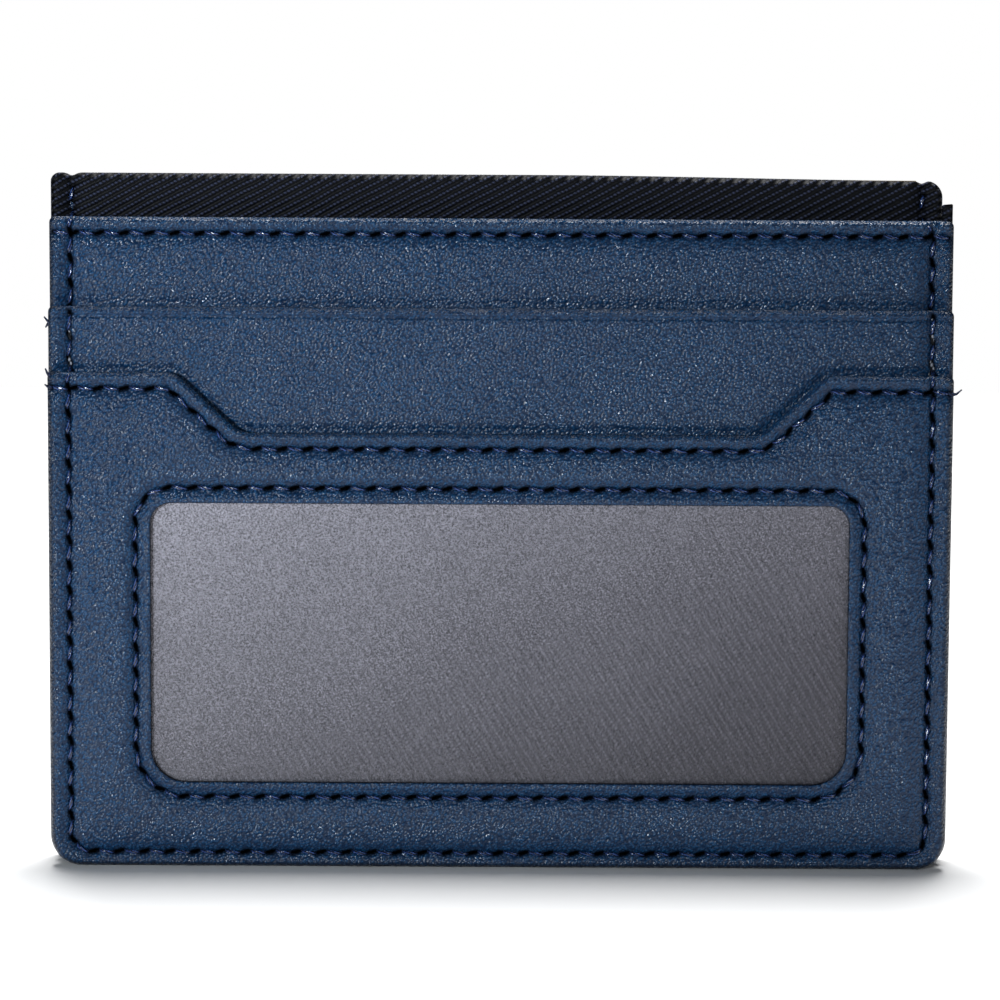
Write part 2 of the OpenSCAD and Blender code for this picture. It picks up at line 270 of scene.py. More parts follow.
def film_material():
    """Frosted PVC film, calendered with a fine matt texture: it greys what is behind it and glitters
    finely. Its colour is painted lighter towards its upper left, as a painted highlight of the light
    there."""
    material, tree, output = start_material("frosted_pvc_film")
    place = add(tree, "ShaderNodeTexCoord").outputs["Object"]
    frost = add(tree, "ShaderNodeTexNoise", {
        "Vector": place, "Scale": 1 / (0.20 * MM), "Detail": 1.0, "Roughness": 0.6,
    }).outputs["Fac"]
    cloud = add(tree, "ShaderNodeTexNoise", {
        "Vector": place, "Scale": 1 / (18 * MM), "Detail": 2.0,
    }).outputs["Fac"]
    # Painted highlight: the film's colour grows lighter towards its upper left, where the light falls
    # on it
    up_left = add(tree, "ShaderNodeVectorMath", {0: place, 1: (-0.34, 0.0, 0.94)},
                  operation="DOT_PRODUCT")
    painted_highlight = add(tree, "ShaderNodeMapRange", {
        "Value": up_left.outputs["Value"], "From Min": -8 * MM, "From Max": 55 * MM,
        "To Min": 0.0, "To Max": 0.80,
    }).outputs[0]
    tone = add(tree, "ShaderNodeValToRGB", {"Fac": maths(
        tree, "MULTIPLY_ADD", cloud, 0.14, maths(tree, "POWER", painted_highlight, 1.3))})
    tone.color_ramp.elements[0].color = hex_colour("2e2c35")
    tone.color_ramp.elements[1].color = hex_colour("bab7c3")
    grain = add(tree, "ShaderNodeMapRange", {
        "Value": frost, "From Min": 0.30, "From Max": 0.70, "To Min": 0.25, "To Max": 1.75,
    }).outputs[0]
    speckled = add(tree, "ShaderNodeVectorMath", {0: tone.outputs["Color"], "Scale": grain},
                   operation="SCALE").outputs[0]
    bump = add(tree, "ShaderNodeBump", {"Strength": 0.4, "Distance": 0.03 * MM, "Height": frost})
    shader = add(tree, "ShaderNodeBsdfPrincipled", {
        "Base Color": speckled, "Roughness": 0.42, "Normal": bump.outputs[0],
        "Alpha": 0.48, "IOR": 1.52,
    })
    tree.links.new(shader.outputs[0], output.inputs[0])
    return material


def thread_material():
    """Bonded polyester thread, twisted from plies and dyed navy: slanting plies with small
    bright lights on them. Its ends are painted black as shade, where they go down into their holes."""
    material, tree, output = start_material("twisted_polyester_thread")
    place = add(tree, "ShaderNodeUVMap", uv_map="thread").outputs[0]
    parts = add(tree, "ShaderNodeSeparateXYZ", {0: place})
    twist = maths(tree, "MULTIPLY_ADD", parts.outputs["X"], math.tau / 0.55,
                  maths(tree, "MULTIPLY", parts.outputs["Y"], 3 * math.tau))
    ply = maths(tree, "MULTIPLY_ADD", maths(tree, "SINE", twist), 0.5, 0.5)
    tone = add(tree, "ShaderNodeValToRGB", {"Fac": ply})
    tone.color_ramp.elements[0].color = hex_colour("050a17")
    tone.color_ramp.elements[1].color = hex_colour("2c4680")
    # Painted shade: a stitch's ends turn black, and as a black metal give back no light, where they go
    # down into their holes
    end = add(tree, "ShaderNodeAttribute", attribute_name="hole").outputs["Fac"]
    shown = add(tree, "ShaderNodeMix", {
        "Factor": end, 6: tone.outputs["Color"], 7: hex_colour(HOLE_BLACK),
    }, data_type="RGBA").outputs[2]
    roughness = maths(tree, "MULTIPLY_ADD", end, 0.7, 0.18)
    bump = add(tree, "ShaderNodeBump", {"Strength": 0.9, "Distance": 0.06 * MM, "Height": ply})
    shader = add(tree, "ShaderNodeBsdfPrincipled", {
        "Base Color": shown, "Roughness": roughness, "Normal": bump.outputs[0],
        "Metallic": end, "Specular IOR Level": 0.75,
    })
    tree.links.new(shader.outputs[0], output.inputs[0])
    return material


def board_material():
    """Bonded fibre board: unfinished, brown and speckled. It is wholly inside the bodies."""
    material, tree, output = start_material("bonded_fibre_board")
    place = add(tree, "ShaderNodeTexCoord").outputs["Object"]
    fibres = add(tree, "ShaderNodeTexNoise", {"Vector": place, "Scale": 1 / (0.6 * MM), "Detail": 4.0})
    tone = add(tree, "ShaderNodeValToRGB", {"Fac": fibres.outputs["Fac"]})
    tone.color_ramp.elements[0].color = hex_colour("6d5f4d")
    tone.color_ramp.elements[1].color = hex_colour("9a8a73")
    shader = add(tree, "ShaderNodeBsdfPrincipled", {
        "Base Color": tone.outputs["Color"], "Roughness": 0.9,
    })
    tree.links.new(shader.outputs[0], output.inputs[0])
    return material


def floor_material():
    """White painted sweep, rolled on matt."""
    material, tree, output = start_material("matt_white_sweep")
    place = add(tree, "ShaderNodeTexCoord").outputs["Object"]
    stipple = add(tree, "ShaderNodeTexNoise", {"Vector": place, "Scale": 900.0}).outputs["Fac"]
    bump = add(tree, "ShaderNodeBump", {"Strength": 0.02, "Distance": 0.0001, "Height": stipple})
    shader = add(tree, "ShaderNodeBsdfPrincipled", {
        "Base Color": (0.92, 0.92, 0.92, 1), "Roughness": 0.9, "Normal": bump.outputs[0],
        "Specular IOR Level": 0.0,
    })
    tree.links.new(shader.outputs[0], output.inputs[0])
    return material


CALF = leather_material()
BODY_TWILL = twill_material("black_twill_shallow_wale", 28, 0.76, "020306", "363c52")
POCKET_TWILL = twill_material("grey_twill_steep_wale", 121, 0.85, "0a0b10", "b0b3be")
FILM = film_material()
POLYESTER = thread_material()
BOARD = board_material()


# ----------------------------------------------------------------- lines with round bends

def unit(v):
    """A vector's direction, with length 1."""
    return v / np.hypot(*v)


def left(v):
    """A vector turned a quarter to its left."""
    return np.array([-v[1], v[0]])


def bends(corners, inset=0.0, closed=True):
    """Where each corner's bend begins and ends, and its arc (centre, radius, start, turn),
    for a line along corners (x, z, radius) that is moved to its left by inset."""
    places = np.array([c[:2] for c in corners], float)
    found = []
    for i, (x, z, radius) in enumerate(corners):
        here = places[i]
        if not closed and i in (0, len(corners) - 1):
            way = unit(places[1] - here if i == 0 else here - places[i - 1])
            end = here + inset * left(way)
            found.append((end, end, None))
            continue
        before = unit(here - places[i - 1])
        after = unit(places[(i + 1) % len(corners)] - here)
        turn = math.atan2(before[0] * after[1] - before[1] * after[0], before @ after)
        corner = here + inset * (left(before) + left(after)) / (1 + before @ after)
        r = max(radius - inset * math.copysign(1, turn), 0.02)
        reach = r * math.tan(abs(turn) / 2)
        begin = corner - before * reach
        centre = begin + left(before) * math.copysign(r, turn)
        start = math.atan2(*(begin - centre)[::-1])
        found.append((begin, corner + after * reach, (centre, r, start, turn)))
    return found


def step_counts(corners, step):
    """How many steps each bend and the straight stretch after it are cut into."""
    found = bends(corners)
    counts = []
    for i, (_, end, (_, r, _, turn)) in enumerate(found):
        run = np.hypot(*(found[(i + 1) % len(found)][0] - end))
        counts.append((max(4, round(r * abs(turn) / step)), max(1, round(run / step))))
    return counts


def ring(corners, inset, counts):
    """Points of a closed line, as many at every inset."""
    found = bends(corners, inset)
    points = []
    for i, (_, end, (centre, r, start, turn)) in enumerate(found):
        round_n, straight_n = counts[i]
        angles = start + turn * np.arange(round_n) / round_n
        points.append(centre + r * np.stack([np.cos(angles), np.sin(angles)], 1))
        following = found[(i + 1) % len(found)][0]
        points.append(end + (following - end) * (np.arange(straight_n) / straight_n)[:, None])
    return np.concatenate(points)


class Row:
    """A row of stitches along a line with round bends."""

    def __init__(self, name, corners, inset=0.0, closed=False):
        self.name = name
        self.parts = []
        self.length = 0.0
        found = bends(corners, inset, closed)
        for i, (begin, end, arc) in enumerate(found):
            if arc:
                centre, r, start, turn = arc
                self.parts.append(("round", self.length, arc))
                self.length += r * abs(turn)
            if closed or i < len(found) - 1:
                following = found[(i + 1) % len(found)][0]
                run = np.hypot(*(following - end))
                self.parts.append(("straight", self.length, (end, unit(following - end), run)))
                self.length += run
        self.count = max(1, round(self.length / PITCH))
        self.pitch = self.length / self.count

    def at(self, s):
        """The point at a distance s along the row, and the way that the row runs there."""
        kind, begun, shape = [p for p in self.parts if p[1] <= s + 1e-9][-1]
        if kind == "straight":
            return shape[0] + shape[1] * (s - begun), shape[1]
        centre, r, start, turn = shape
        angle = start + math.copysign((s - begun) / r, turn)
        out = np.array([math.cos(angle), math.sin(angle)])
        return centre + r * out, left(out) * math.copysign(1, turn)

    def nearest(self, points):
        """For each point, its distance along the row and its distance to the row's left."""
        best = np.full(len(points), 1e9)
        along, across = np.zeros(len(points)), np.full(len(points), 1e9)
        for kind, begun, shape in self.parts:
            if kind == "straight":
                begin, way, run = shape
                rel = points - begin
                t = np.clip(rel @ way, 0, run)
                off = rel - t[:, None] * way
                distance, side, s = np.hypot(*off.T), off @ left(way), begun + t
            else:
                centre, r, start, turn = shape
                rel = points - centre
                reach = np.hypot(*rel.T)
                sign = math.copysign(1, turn)
                swept = ((np.arctan2(rel[:, 1], rel[:, 0]) - start) * sign) % math.tau
                side = (r - reach) * sign
                distance = np.where(swept <= abs(turn), np.abs(side), 1e9)
                s = begun + swept * r
            closer = distance < best
            best = np.where(closer, distance, best)
            along = np.where(closer, s, along)
            across = np.where(closer, side, across)
        return along, across, best


# --------------------------------------------------------------------- sewn surface shape

GROOVE_DEPTH, GROOVE_HALF = 0.16, 0.27
DRAWN_DEPTH, DRAWN_REACH = 0.44, 1.10
HOLE_DEPTH, HOLE_LONG, HOLE_WIDE = 0.24, 0.70, 0.26
HOLE_SLANT = math.radians(16)
HOLE_REACH = 1.3         # no part of a hole is further than this from its row
HOLE_DARKNESS = 1.7      # above 1, so that a hole's painted shade is black beyond its very middle
WAVES, SHORT_WAVE, LONG_WAVE = 7, 14, 45


def smooth(x, low, high):
    """An eased step from 0 at low to 1 at high."""
    t = np.clip((x - low) / (high - low), 0, 1)
    return t * t * (3 - 2 * t)


def sewn(points, rows):
    """How far a sewn surface lies behind its face, and how dark the painted shade in its holes is.
    A seam draws the leather down for a millimetre on both sides, with a groove under the thread
    and a pit at each stitch hole. Away from the seams the leather swells a little."""
    pit, dark, nearest = np.zeros(len(points)), np.zeros(len(points)), np.full(len(points), 1e9)
    for row in rows:
        along, aside, distance = row.nearest(points)
        phase = (along / row.pitch - np.round(along / row.pitch)) * row.pitch
        far = phase * math.cos(HOLE_SLANT) + aside * math.sin(HOLE_SLANT)
        off = -phase * math.sin(HOLE_SLANT) + aside * math.cos(HOLE_SLANT)
        hole = np.exp(-(far / HOLE_LONG) ** 4 - (off / HOLE_WIDE) ** 2) * (distance < HOLE_REACH)
        pit, dark = np.maximum(pit, HOLE_DEPTH * hole), np.maximum(dark, hole)
        nearest = np.minimum(nearest, distance)
    groove = GROOVE_DEPTH * np.exp(-(nearest / GROOVE_HALF) ** 2)
    drawn = DRAWN_DEPTH * (np.exp(-(nearest / DRAWN_REACH) ** 2) - 0.5)
    return pit + groove + drawn, np.clip(HOLE_DARKNESS * dark, 0, 1)


def gentle(points, seed):
    """Slow unevenness of a flexible sheet, from a few long waves."""
    rng = np.random.default_rng(seed)
    total = np.zeros(len(points))
    for _ in range(WAVES):
        length = rng.uniform(SHORT_WAVE, LONG_WAVE)
        angle = rng.uniform(0, math.tau)
        way = np.array([math.cos(angle), math.sin(angle)]) * math.tau / length
        total += np.sin(points @ way + rng.uniform(0, math.tau)) * length / LONG_WAVE
    return total / 4


# ------------------------------------------------------------------------------- shells

def mesh_object(name, points, faces, material, attributes):
    """A smooth mesh object from points in millimetres. Attributes give each point a value."""
    mesh = bpy.data.meshes.new(name)
    mesh.from_pydata((points * MM).tolist(), [], faces)
    for key, values in attributes.items():
        layer = mesh.attributes.new(key, "FLOAT", "POINT")
        layer.data.foreach_set("value", np.asarray(values, np.float32))
    mesh.polygons.foreach_set("use_smooth", [True] * len(mesh.polygons))
    mesh.materials.append(material)
    mesh.update()
    made = bpy.data.objects.new(name, mesh)
    bpy.context.collection.objects.link(made)
    return made


def inside(points, loop):
    """Which points lie inside a closed line."""
    found = np.zeros(len(points), bool)
    ax, az = loop[:, 0], loop[:, 1]
    bx, bz = np.roll(ax, -1), np.roll(az, -1)
    for part in np.array_split(np.arange(len(points)), max(1, len(points) // 400)):
        x, z = points[part, 0][:, None], points[part, 1][:, None]
        spans = (az > z) != (bz > z)
        with np.errstate(divide="ignore", invalid="ignore"):
            hit = spans & (x < (bx - ax) * (z - az) / (bz - az) + ax)
        found[part] = hit.sum(1) % 2 == 1
    return found


class Shell:
    """A closed skin that grows from rings of points in the X and Z plane with depths."""

    def __init__(self):
        self.places, self.depths, self.dark, self.raw, self.faces = [], [], [], [], []
        self.count = 0

    def put(self, points, depth, dark=0.0, raw=0.0):
        """Adds points, each with its depth and attributes, and returns their indices."""
        n = len(points)
        self.places.append(np.array(points))
        self.depths.append(np.broadcast_to(depth, n))
        self.dark.append(np.broadcast_to(dark, n))
        self.raw.append(np.broadcast_to(raw, n))
        self.count += n
        return np.arange(self.count - n, self.count)

    def join(self, outer, inner):
        """Quads between two rings with as many points."""
        a, b = outer, inner
        self.faces += np.stack([a, np.roll(a, -1), np.roll(b, -1), b], 1).tolist()

    def fill(self, loops, spacing, depth_of, flip=False, extra=None):
        """Triangles inside the first loop and outside the others."""
        lines = [np.concatenate(self.places)[loop] for loop in loops]
        low, high = lines[0].min(0), lines[0].max(0)
        across = np.arange(low[0] + spacing / 2, high[0], spacing)
        up = np.arange(low[1] + spacing / 2, high[1], spacing)
        grid = np.stack(np.meshgrid(across, up), -1).reshape(-1, 2)
        if extra is not None:
            grid = np.concatenate([grid, extra])
        keep = inside(grid, lines[0])
        for line in lines[1:]:
            keep &= ~inside(grid, line)
        grid = grid[keep]
        rim = np.concatenate(lines)
        clear = np.ones(len(grid), bool)
        for part in np.array_split(np.arange(len(grid)), max(1, len(grid) // 500)):
            gap = np.hypot(*(grid[part][:, None] - rim[None]).T).T.min(1)
            clear[part] = gap > 0.55 * spacing
        grid = grid[clear]
        ids = np.concatenate([*loops, self.put(grid, depth_of(grid))])
        points = np.concatenate([*lines, grid])
        edges, begun = [], 0
        for line in lines:
            n = len(line)
            edges += [(begun + i, begun + (i + 1) % n) for i in range(n)]
            begun += n
        made = geometry.delaunay_2d_cdt([Vector(p) for p in points], edges, [], 0, 1e-5)
        source = [o[0] for o in made[3]]
        triangles = np.array([[source[v] for v in f] for f in made[2]])
        centres = points[triangles].mean(1)
        keep = inside(centres, lines[0])
        for line in lines[1:]:
            keep &= ~inside(centres, line)
        triangles = ids[triangles[keep]]
        self.faces += (triangles[:, ::-1] if flip else triangles).tolist()

    def make(self, name, face, facing, material, warp=None):
        """The mesh object: face is the Y of depth 0, and facing -1 looks to the front."""
        places, depths = np.concatenate(self.places), np.concatenate(self.depths)
        points = np.stack([places[:, 0], face - facing * depths, places[:, 1]], 1)
        if warp:
            points = warp(points)
        faces = self.faces if facing < 0 else [f[::-1] for f in self.faces]
        attributes = {"hole": np.concatenate(self.dark), "raw_edge": np.concatenate(self.raw)}
        return mesh_object(name, points, faces, material, attributes)


FINE = 0.18              # distance between points where the surface is shaped
COARSE = 2.4             # and on the back of a panel, which is flat
RIM_INSETS = [0.0, 0.04, 0.12, 0.24, 0.38, 0.54, 0.72, 0.90, 1.06]
EDGE_SHADE = 0.72        # painted shade on the rounded edge, fading out over the rounding
SHADE_FULL = 0.15        # how far in from the outline the painted shade is at its darkest
TOP_UNSHADED = 0.85          # share of the painted shade that a turned top edge lacks
CUT_REACH = 0.08         # how far in from a cut edge the raw leather shows
SETTLE_REACH = 0.6       # the surface's own shape fades in over this distance
BACK_ROUND, LEAST_BACK_ROUND = 0.3, 0.05


def rim_drop(inset, radius):
    """How far a rounded edge falls back at a distance from the outline."""
    short = np.clip(radius - inset, 0, radius)
    return radius - np.sqrt(np.maximum(radius ** 2 - short ** 2, 0))


def sewn_panel(name, corners, rows, face, facing, material, side_depth, top_depth, side_round,
               top_round, step=FINE, band=3.1, window=None, window_round=0.16, wave=0.06, seed=1,
               plate=LEATHER, hem=None, warp=None, extra_shape=None, spacing=1.1, insets=None):
    """A panel with rounded edges, grooves and stitch holes. The depth and the rounding of
    its edge change from the sides and bottom to the top edge."""
    shell = Shell()
    top_z = max(c[1] for c in corners)

    def at_top(points):
        """1 on the top edge and 0 on the sides and bottom."""
        beside = HALF_W - np.abs(points[:, 0])
        below = points[:, 1]
        edge_gap = np.minimum(beside, below)
        return smooth(edge_gap, 0.35, 1.6)

    def surface(points):
        """Depth of the face and the painted shade of its holes."""
        depth, dark = sewn(points, rows)
        depth = depth + wave * gentle(points, seed)
        if extra_shape:
            depth = depth + extra_shape(points)
        return depth, dark

    def grow(line, sign, drop_round, full_depth, cut=0.0):
        """Rings from the back edge, round the rim and in over the face."""
        counts = step_counts(line, step)
        base = ring(line, 0.0, counts)
        radius, full = drop_round(base), full_depth(base)
        back_round = np.minimum(BACK_ROUND, full - radius - 0.02)
        back_round = np.maximum(back_round, LEAST_BACK_ROUND)
        made = []
        # The back and the side of an edge take the painted edge shade, or the dark face of a cut edge
        for turn in (1.0, 0.66, 0.33):
            angle = turn * math.pi / 2
            inset = back_round.mean() * (1 - math.cos(angle))
            depth = full - back_round + back_round * math.sin(angle)
            made.append(shell.put(ring(line, sign * inset, counts), depth, 0.0, max(cut, EDGE_SHADE)))
        for share in (0.0, 0.5, 0.85):
            side = full - back_round - share * (full - back_round - radius)
            made.append(shell.put(base, side, 0.0, max(cut, EDGE_SHADE)))
        for inset in insets or RIM_INSETS + list(np.arange(RIM_INSETS[-1] + step, band, step)):
            points = ring(line, sign * inset, counts)
            depth, dark = surface(points)
            settle = smooth(inset, 0.0, SETTLE_REACH)
            depth = rim_drop(inset, radius) + depth * settle
            # Painted shade over the rounded edge, mostly left off a turned top edge; by a cut edge its
            # own dark face shows
            rim = 1 - smooth(inset, SHADE_FULL, SHADE_FULL + radius)
            rim = rim * (1 - TOP_UNSHADED * at_top(points))
            edge_shade = EDGE_SHADE * rim if sign > 0 else 0.0
            raw = np.maximum(cut * (inset < CUT_REACH), edge_shade)
            made.append(shell.put(points, depth, dark * settle, raw))
        for outer, inner in zip(made, made[1:]):
            if sign > 0:
                shell.join(outer, inner)
            else:
                shell.join(inner, outer)
        return made

    outer = grow(corners, 1, lambda p: side_round + (top_round - side_round) * at_top(p),
                 lambda p: side_depth + (top_depth - side_depth) * at_top(p))
    loops_front, loops_back = [outer[-1]], [outer[0]]
    if window:
        hole = grow(window, -1, lambda p: np.full(len(p), window_round),
                    lambda p: np.full(len(p), plate), cut=1.0)
        loops_front.append(hole[-1])
        loops_back.append(hole[0])

    def back_depth(points):
        """Depth of the back, which stands further back where the edge is folded."""
        if hem is None:
            return np.full(len(points), top_depth)
        side_w, floor_h, low_depth = hem
        beside = HALF_W - np.abs(points[:, 0])
        at_side = smooth(-beside, -side_w - 0.1, -side_w)
        at_floor = smooth(-points[:, 1], -floor_h - 0.1, -floor_h)
        folded = np.maximum(at_side, at_floor)
        return low_depth + (side_depth - low_depth) * folded

    shell.fill(loops_front, spacing, lambda p: surface(p)[0])
    extra = None
    if hem:
        heights = np.arange(hem[1] + 0.2, top_z - 0.4, 1.2)
        widths = np.arange(-HALF_W + hem[0] + 0.2, HALF_W - hem[0] - 0.1, 1.2)
        extra = np.concatenate(
            [np.stack([np.full(len(heights), s * (HALF_W - hem[0] - d)), heights], 1)
             for s in (-1, 1) for d in (0.0, 0.12)]
            + [np.stack([widths, np.full(len(widths), hem[1] + d)], 1) for d in (0.0, 0.12)]
        )
    shell.fill(loops_back, COARSE, back_depth, flip=True, extra=extra)
    return shell.make(name, face, facing, material, warp)


# ------------------------------------------------------------------------------ outlines

def upright(half, low, top, low_r=CORNER, right_r=TOP_CORNER, left_r=TOP_CORNER):
    """A panel's outline, anticlockwise from its lower left corner."""
    return [(-half, low, low_r), (half, low, low_r), (half, top, right_r), (-half, top, left_r)]


WINDOW_PANEL = [
    (-HALF_W, 0, CORNER), (HALF_W, 0, CORNER),
    (HALF_W, SHOULDER_TOP, TOP_CORNER), (CUTOUT_TOP, SHOULDER_TOP, SHOULDER_BEND),
    (CUTOUT_FLAT, CUTOUT_FLOOR, CUTOUT_BEND), (-CUTOUT_FLAT, CUTOUT_FLOOR, CUTOUT_BEND),
    (-CUTOUT_TOP, SHOULDER_TOP, SHOULDER_BEND), (-HALF_W, SHOULDER_TOP, TOP_CORNER),
]
WINDOW = [
    (-WINDOW_X, WINDOW_LOW, WINDOW_LOW_BEND), (WINDOW_X, WINDOW_LOW, WINDOW_LOW_BEND),
    (WINDOW_X, WINDOW_TOP, WINDOW_TOP_BEND), (-WINDOW_X, WINDOW_TOP, WINDOW_TOP_BEND),
]
CUTOUT_EDGE = [(HALF_W, SHOULDER_TOP, 0)] + WINDOW_PANEL[3:7] + [(-HALF_W, SHOULDER_TOP, 0)]


def seam(name, top):
    """The seam down the left side, along the bottom and up the right side."""
    return Row(name, [(-SEAM_X, top, 0), (-SEAM_X, BOTTOM_SEAM, SEAM_BEND),
                      (SEAM_X, BOTTOM_SEAM, SEAM_BEND), (SEAM_X, top, 0)])


WINDOW_ROW = Row("window_thread", WINDOW, inset=-WINDOW_SEAM, closed=True)
CUTOUT_ROW = Row("cutout_thread", CUTOUT_EDGE, inset=EDGE_SEAM)
UPPER_ROW = Row("upper_edge_thread", [(HALF_W, FRONT_TOP - EDGE_SEAM, 0),
                                      (-HALF_W, FRONT_TOP - EDGE_SEAM, 0)])
FRONT_SEAM = seam("front_seam_thread", REAR_TOP - SEAM_END)
REAR_SEAM = seam("rear_seam_thread", REAR_TOP - SEAM_END)

# A corner of the front lining stands up past the leather at the right.
EAR_W, EAR_UP, LINING_IN = 1.3, 1.9, 0.5
FRONT_LINING = [
    (-HALF_W + LINING_IN, 0.1, CORNER), (HALF_W - LINING_IN, 0.1, CORNER),
    (HALF_W - LINING_IN, FRONT_TOP - 3.0, 0.3), (HALF_W - 0.1, FRONT_TOP - 2.2, 0.3),
    (HALF_W - 0.1, FRONT_TOP + EAR_UP, 0.15), (HALF_W - EAR_W, FRONT_TOP + EAR_UP - 0.1, 0.2),
    (HALF_W - EAR_W - 0.1, FRONT_TOP - LINING_IN, 0.1),
    (-HALF_W + LINING_IN, FRONT_TOP - LINING_IN, 0.3),
]
TWILL_RINGS = [0.0, 0.04, 0.12, 0.3]


# ---------------------------------------------------------------------------- the layers

LEAN, DROOP = 1.15, 0.42
SEAM_DIP, SEAM_DIP_HALF = 0.32, 0.55
CREASE_BELOW, CREASE_DEPTH, CREASE_HALF = 1.05, 0.20, 0.17
SWELL_ABOVE, SWELL_HEIGHT, SWELL_HALF = 0.55, 0.10, 0.35
TUCK_DEPTH, TUCK_REACH = 0.26, 0.6


def settled(points):
    """The rear body as it sits in use: its upper right corner leans in and droops, and the
    side seams draw its top edge down a little where they cross it."""
    x, z = points[:, 0].copy(), points[:, 2].copy()
    high = smooth(z, FRONT_TOP - 1.5, FRONT_TOP + 0.8)
    points[:, 0] -= LEAN * high * smooth(x, 20, HALF_W) ** 2
    at_seam = np.exp(-((np.abs(x) - SEAM_X) / SEAM_DIP_HALF) ** 2)
    dip = SEAM_DIP * at_seam * smooth(z, REAR_TOP - 3.5, REAR_TOP - 0.3)
    points[:, 2] -= dip + DROOP * high * smooth(x, 5, 48)
    return points


def crease(points):
    """Pressed line along the middle panel's folded edge, with a low swell above it."""
    distance = points[:, 1] - (MIDDLE_TOP - CREASE_BELOW)
    line = CREASE_DEPTH * np.exp(-(distance / CREASE_HALF) ** 2)
    return line - SWELL_HEIGHT * np.exp(-((distance - SWELL_ABOVE) / SWELL_HALF) ** 2)


def tuck(distance):
    """Leather bends back round the edge of the panel in front of it."""
    return TUCK_DEPTH * np.exp(-(distance / TUCK_REACH) ** 2)


def middle_shape(points):
    """The middle panel's pressed line, and its tuck along the window panel's top edge."""
    x, z = np.abs(points[:, 0]), points[:, 1]
    run = CUTOUT_TOP - CUTOUT_FLAT
    rise = (SHOULDER_TOP - CUTOUT_FLOOR) / run
    edge = CUTOUT_FLOOR + rise * np.clip(x - CUTOUT_FLAT, 0, run)
    sloping = (x > CUTOUT_FLAT) & (x < CUTOUT_TOP)
    return crease(points) + tuck((z - edge) / np.where(sloping, math.hypot(1, rise), 1))


def upper_shape(points):
    """The upper panel's tuck along the middle panel's top edge."""
    return tuck(points[:, 1] - MIDDLE_TOP)


window_panel = sewn_panel(
    "window_panel_leather", WINDOW_PANEL, [WINDOW_ROW, CUTOUT_ROW, FRONT_SEAM], WINDOW_FACE, -1, CALF,
    side_depth=WINDOW_EDGE, top_depth=LEATHER, side_round=0.95, top_round=0.55, window=WINDOW,
    hem=(SIDE_HEM, FLOOR_HEM, LEATHER), seed=3)
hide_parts("window_panel", "window_panel_hem")

middle_panel = sewn_panel(
    "middle_panel_leather", upright(HALF_W, MIDDLE_LOW, MIDDLE_TOP, 0.4), [FRONT_SEAM], MIDDLE_FACE, -1,
    CALF, side_depth=LEATHER, top_depth=LEATHER, side_round=0.45, top_round=0.5,
    extra_shape=middle_shape, seed=5, spacing=0.45)
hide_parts("middle_panel")

upper_panel = sewn_panel(
    "upper_panel_leather", upright(HALF_W, 0, FRONT_TOP), [FRONT_SEAM, UPPER_ROW], UPPER_FACE, -1, CALF,
    side_depth=BODY_EDGE, top_depth=BODY_EDGE, side_round=0.7, top_round=0.7,
    extra_shape=upper_shape, seed=7, spacing=0.55)
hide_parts("upper_panel")

rear_panel = sewn_panel(
    "rear_panel_leather", upright(HALF_W, 0, REAR_TOP, right_r=1.9, left_r=1.0), [REAR_SEAM],
    BACK_FACE, 1, CALF, side_depth=REAR_EDGE, top_depth=LEATHER, side_round=0.8, top_round=0.45,
    seed=11, warp=settled)
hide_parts("rear_panel")

rear_lining = sewn_panel(
    "rear_lining_twill", upright(HALF_W - 0.1, 0.1, REAR_TOP, right_r=1.8, left_r=0.9), [FRONT_SEAM],
    REAR_LINING_FACE, -1, BODY_TWILL, side_depth=LINING_EDGE, top_depth=LINING_EDGE, side_round=0.3,
    top_round=0.42, step=0.22, seed=13, warp=settled)
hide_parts("rear_lining", "rear_lining_hem")

front_lining = sewn_panel(
    "front_lining_twill", FRONT_LINING, [], FRONT_LINING_FACE, -1, BODY_TWILL, side_depth=TWILL,
    top_depth=TWILL, side_round=0.1, top_round=0.1, step=0.4, insets=TWILL_RINGS, seed=17, wave=0.02)
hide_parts("front_lining")

middle_backing = sewn_panel(
    "middle_backing_twill", upright(HALF_W - 0.5, 0.1, MIDDLE_TOP - 0.5), [], TWILL_FACE, -1,
    POCKET_TWILL, side_depth=TWILL, top_depth=TWILL, side_round=0.1, top_round=0.1, step=0.4,
    insets=TWILL_RINGS, seed=19, wave=0.02)
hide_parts("middle_backing", "middle_backing_hem")

for piece, slot in ((window_panel, "leather"), (middle_panel, "leather"), (upper_panel, "leather"),
                    (rear_panel, "leather"), (rear_lining, "twill"), (front_lining, "twill"),
                    (middle_backing, "twill")):
    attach(piece, "root")


# ------------------------------------------------------------------------------- thread

def front_face(z):
    """Y of the foremost layer at a height on the side seams, eased over each step."""
    y = WINDOW_FACE + (MIDDLE_FACE - WINDOW_FACE) * smooth(z, SHOULDER_TOP - 0.5, SHOULDER_TOP + 0.2)
    y = y + (UPPER_FACE - MIDDLE_FACE) * smooth(z, MIDDLE_TOP - 0.5, MIDDLE_TOP + 0.2)
    return y + (REAR_LINING_FACE - UPPER_FACE) * smooth(z, FRONT_TOP - 0.5, FRONT_TOP + 0.2)


STITCH_RINGS, STITCH_SIDES = 9, 6
STITCH_SHARE, STITCH_SLANT = 0.68, 0.16      # visible share of the pitch, slant to each side
THREAD_SINK, END_DIP = 0.06, 1.35            # below the face: the middle, and more at the ends
MIDDLE_SHARE, END_LESS = 1.12, 0.85          # radius of a stitch as shares of half the thread
LOBE, LOOSENESS = 0.16, 0.12
DARK_FROM, DARK_TO = 0.55, 0.95              # where a stitch's ends turn dark with painted shade
TAIL_RADII, TAIL_DARKNESS = (0.24, 0.09), 0.6


